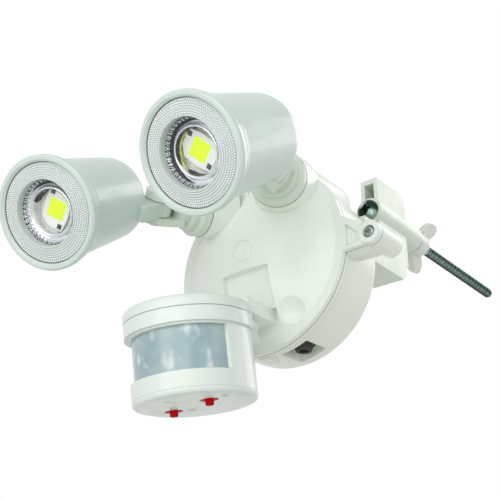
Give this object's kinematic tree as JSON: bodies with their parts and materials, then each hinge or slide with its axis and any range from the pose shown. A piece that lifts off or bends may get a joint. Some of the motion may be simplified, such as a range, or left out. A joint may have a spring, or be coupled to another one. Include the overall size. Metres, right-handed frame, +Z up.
{
  "type": "motion sensor security light",
  "caption": "Wall or post mounted security light: round dome housing with two swivelling lamp heads, a drum shaped motion sensor under it and a clamp bolt with a wing nut at the back",
  "frame": {"origin": "start of the clamp bolt's free thread, on the bolt's axis", "axes": "+Z up, -Y the way the dome faces, +Y along the clamp bolt to its tip, +X to the right seen from the front"},
  "size_m": [0.1479, 0.3312, 0.1587],
  "materials": {
    "white_plastic": "smooth moulded gloss",
    "seal_rubber": "matt",
    "screw_steel": "zinc plated",
    "bolt_steel": "zinc plated, rolled thread",
    "bright_reflector": "metallised mirror coat",
    "clear_lens": "clear with fine pressed rings",
    "chip_phosphor": "soft cured gel",
    "chip_carrier": "white solder mask",
    "sink_aluminium": "as cast",
    "window_film": "milky with fine grooves inside",
    "board_laminate": "solder mask",
    "dial_red": "smooth moulded gloss",
    "dark_plastic": "fine grain",
    "coil_tape": "tape over ferrite"
  },
  "bodies": {
    "housing": {"rear_housing": "white_plastic", "front_cover": "white_plastic", "cover_gasket": "seal_rubber", "ear_screw_right": "screw_steel", "ear_screw_left": "screw_steel", "dome_cap": "white_plastic", "driver_board": "board_laminate", "board_screw_upper": "screw_steel", "board_screw_lower": "screw_steel", "capacitor": "dark_plastic", "transformer": "coil_tape", "relay": "dark_plastic", "terminal_block": "dark_plastic", "cable_gland": "seal_rubber", "clamp_bracket": "white_plastic", "bracket_screw_low": "screw_steel", "bracket_screw_high": "screw_steel", "clamp_bolt": "bolt_steel", "bolt_washer": "screw_steel"},
    "wing_nut": {"wing_nut": "white_plastic"},
    "sensor_neck": {"sensor_neck": "white_plastic", "sensor_pivot_screw": "screw_steel", "sensor_pivot_nut": "screw_steel"},
    "sensor": {"sensor_housing": "white_plastic", "sensor_hood": "white_plastic", "sensor_window": "window_film", "sensor_base": "white_plastic", "sensor_board": "board_laminate", "pir_element": "screw_steel"},
    "dial_time": {"dial_time": "dial_red"},
    "dial_light": {"dial_light": "dial_red"},
    "arm_right": {"arm_right": "white_plastic", "swivel_clip_right": "screw_steel", "pivot_screw_right": "screw_steel", "pivot_nut_right": "screw_steel"},
    "lamp_right": {"lamp_housing_right": "white_plastic", "lamp_bezel_right": "white_plastic", "lamp_lens_right": "clear_lens", "reflector_right": "bright_reflector", "led_board_right": "chip_carrier", "led_chip_right": "chip_phosphor", "heat_sink_right": "sink_aluminium"},
    "arm_left": {"arm_left": "white_plastic", "swivel_clip_left": "screw_steel", "pivot_screw_left": "screw_steel", "pivot_nut_left": "screw_steel"},
    "lamp_left": {"lamp_housing_left": "white_plastic", "lamp_bezel_left": "white_plastic", "lamp_lens_left": "clear_lens", "reflector_left": "bright_reflector", "led_board_left": "chip_carrier", "led_chip_left": "chip_phosphor", "heat_sink_left": "sink_aluminium"}
  },
  "joints": [
    {"name": "swivel_right", "type": "hinge", "parent": "housing", "child": "arm_right", "pos_m": [-0.01165, -0.1395, -0.0065], "axis": [0.3466, -0.9173, -0.1959], "range_deg": [-15, 75]},
    {"name": "tilt_right", "type": "hinge", "parent": "arm_right", "child": "lamp_right", "pos_m": [-0.00274, -0.16307, -0.01154], "axis": [0.6125, 0.3796, -0.6934], "range_deg": [-40, 10]},
    {"name": "swivel_left", "type": "hinge", "parent": "housing", "child": "arm_left", "pos_m": [-0.06485, -0.1395, -0.0065], "axis": [0.3466, 0.9173, 0.1959], "range_deg": [-15, 75]},
    {"name": "tilt_left", "type": "hinge", "parent": "arm_left", "child": "lamp_left", "pos_m": [-0.07376, -0.16307, -0.01154], "axis": [0.6125, -0.3796, 0.6934], "range_deg": [-40, 10]},
    {"name": "sensor_pan", "type": "hinge", "parent": "housing", "child": "sensor_neck", "pos_m": [-0.03825, -0.1402, -0.079], "axis": [0, 0, 1], "range_deg": [-40, 40]},
    {"name": "sensor_tilt", "type": "hinge", "parent": "sensor_neck", "child": "sensor", "pos_m": [-0.03825, -0.1402, -0.0913], "axis": [1, 0, 0], "range_deg": [-6, 20]},
    {"name": "dial_time_turn", "type": "hinge", "parent": "sensor", "child": "dial_time", "pos_m": [-0.05225, -0.17307, -0.13299], "axis": [0, -0.1564, 0.9877], "range_deg": [-135, 135]},
    {"name": "dial_light_turn", "type": "hinge", "parent": "sensor", "child": "dial_light", "pos_m": [-0.02675, -0.17801, -0.13378], "axis": [0, -0.1564, 0.9877], "range_deg": [-135, 135]},
    {"name": "wing_nut_turn", "type": "hinge", "parent": "housing", "child": "wing_nut", "pos_m": [0, -0.0138, 0], "axis": [0, 1, 0], "continuous": true}
  ]
}
